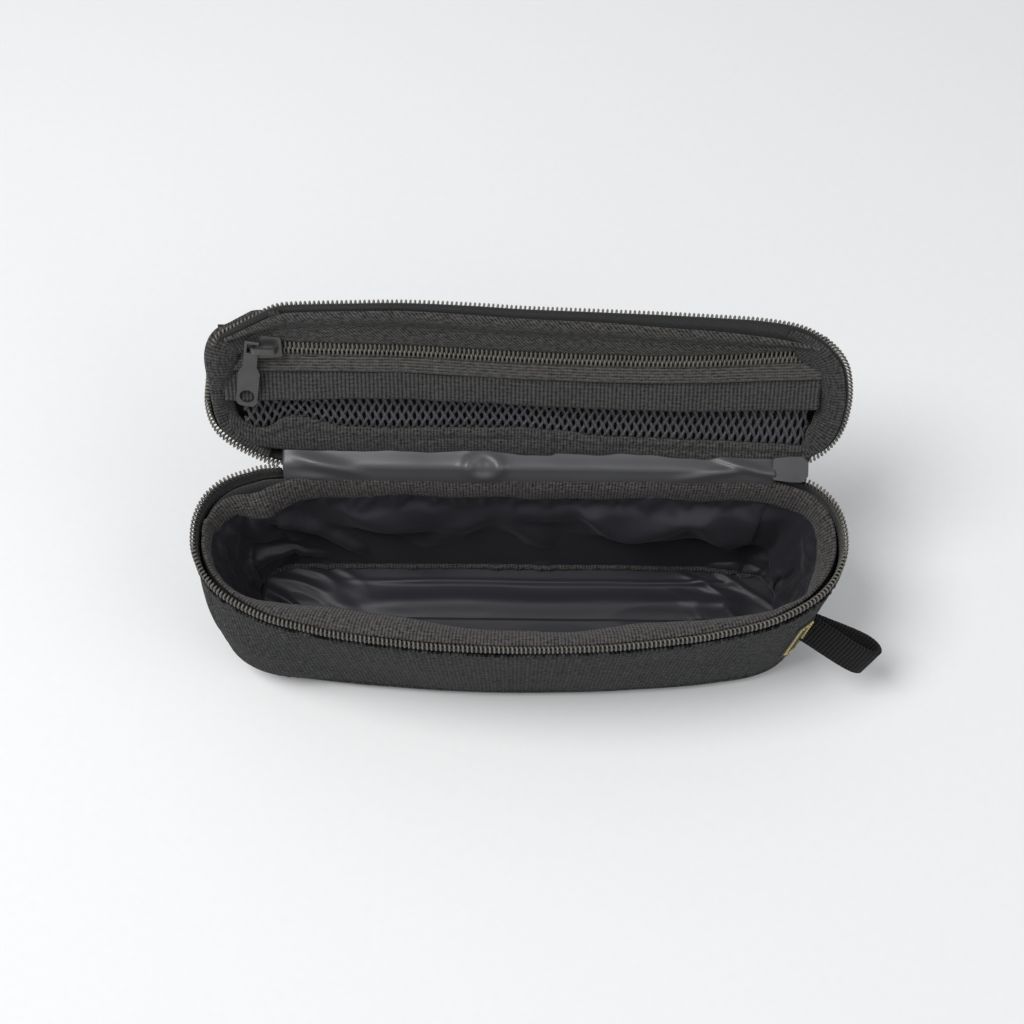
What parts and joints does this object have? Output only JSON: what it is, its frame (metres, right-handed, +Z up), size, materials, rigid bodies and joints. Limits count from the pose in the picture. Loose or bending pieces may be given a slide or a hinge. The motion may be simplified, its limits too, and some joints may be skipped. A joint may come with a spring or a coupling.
{
  "type": "zipper pouch",
  "caption": "Long soft pouch with a padded tub, a zip-round hinged lid, a zipped mesh pocket in the lid and a webbing loop at one end.",
  "frame": {"origin": "centre of the foot of the tub, on the surface it stands on", "axes": "+X along the long side towards the webbing loop, +Y towards the cloth hinge, +Z up"},
  "size_m": [0.2287, 0.1018, 0.1209],
  "materials": {
    "shell_cloth": "plain woven polyester, matt charcoal",
    "foam": "foamed padding",
    "lining": "satin",
    "ribbon": "ribbed binding",
    "zip_tape": "woven tape",
    "zip_coil": "nylon coil with a light wear",
    "twill": "twill",
    "grosgrain": "fine vertical ribs",
    "mesh": "coarse net",
    "webbing": "ribbed webbing",
    "patch": "plain with a muted gold stitched edge",
    "slider_plain": "satin",
    "slider_dark": "satin, dark gunmetal"
  },
  "bodies": {
    "tub": {"tub_front_panel": "shell_cloth", "tub_back_panel": "shell_cloth", "tub_base_panel": "shell_cloth", "tub_wall_padding": "foam", "tub_base_padding": "foam", "tub_lining_wall": "lining", "tub_lining_base": "lining", "tub_rim_ribbon": "ribbon", "tub_floor_seam": "ribbon", "main_tape_lower": "zip_tape", "main_chain_lower": "zip_coil", "spine_panel": "shell_cloth", "spine_lining": "lining", "loop_front_leg": "webbing", "loop_rear_leg": "webbing", "corner_patch": "patch"},
    "lid": {"lid_side_band": "shell_cloth", "lid_top_panel": "shell_cloth", "lid_padding": "foam", "lid_lining": "lining", "main_tape_upper": "zip_tape", "main_chain_upper": "zip_coil", "pocket_header": "twill", "pocket_tape_upper": "zip_tape", "pocket_tape_lower": "zip_tape", "pocket_band": "grosgrain", "pocket_mesh": "mesh", "pocket_hem_ribbon": "ribbon", "pocket_end_ribbon_left": "ribbon", "pocket_end_ribbon_right": "ribbon", "pocket_chain_lower": "zip_coil", "pocket_chain_upper": "zip_coil"},
    "main_slider": {"main_slider_body": "slider_plain"},
    "main_pull": {"main_pull_tab": "slider_dark"},
    "pocket_slider": {"pocket_slider_body": "slider_dark"},
    "pocket_pull": {"pocket_pull_tab": "slider_dark"}
  },
  "joints": [
    {"name": "lid_hinge", "type": "hinge", "parent": "tub", "child": "lid", "pos_m": [0, 0.0287, 0.0595], "axis": [-1, 0, 0], "range_deg": [-112.5, 35], "deforming": ["spine_panel", "spine_lining"]},
    {"name": "main_slider_turn", "type": "hinge", "parent": "tub", "child": "main_slider", "pos_m": [0, 0.0287, 0.0595], "axis": [-1, 0, 0], "range_deg": [-56.25, 17.5]},
    {"name": "main_pull_swing", "type": "hinge", "parent": "main_slider", "child": "main_pull", "pos_m": [0.09266, 0.02903, 0.05901], "axis": [0, -0.8315, -0.5556], "range_deg": [-15, 85]},
    {"name": "pocket_slide", "type": "slide", "parent": "lid", "child": "pocket_slider", "axis": [1, 0, 0], "range_m": [0, 0.16], "deforming": ["pocket_chain_lower", "pocket_chain_upper"]},
    {"name": "pocket_pull_swing", "type": "hinge", "parent": "pocket_slider", "child": "pocket_pull", "pos_m": [-0.0846, 0.04619, 0.10172], "axis": [0, -0.9239, 0.3827], "range_deg": [-20, 55]}
  ],
  "couplings": [
    {"joint": "main_slider_turn", "follows": "lid_hinge", "ratio": 0.5}
  ]
}
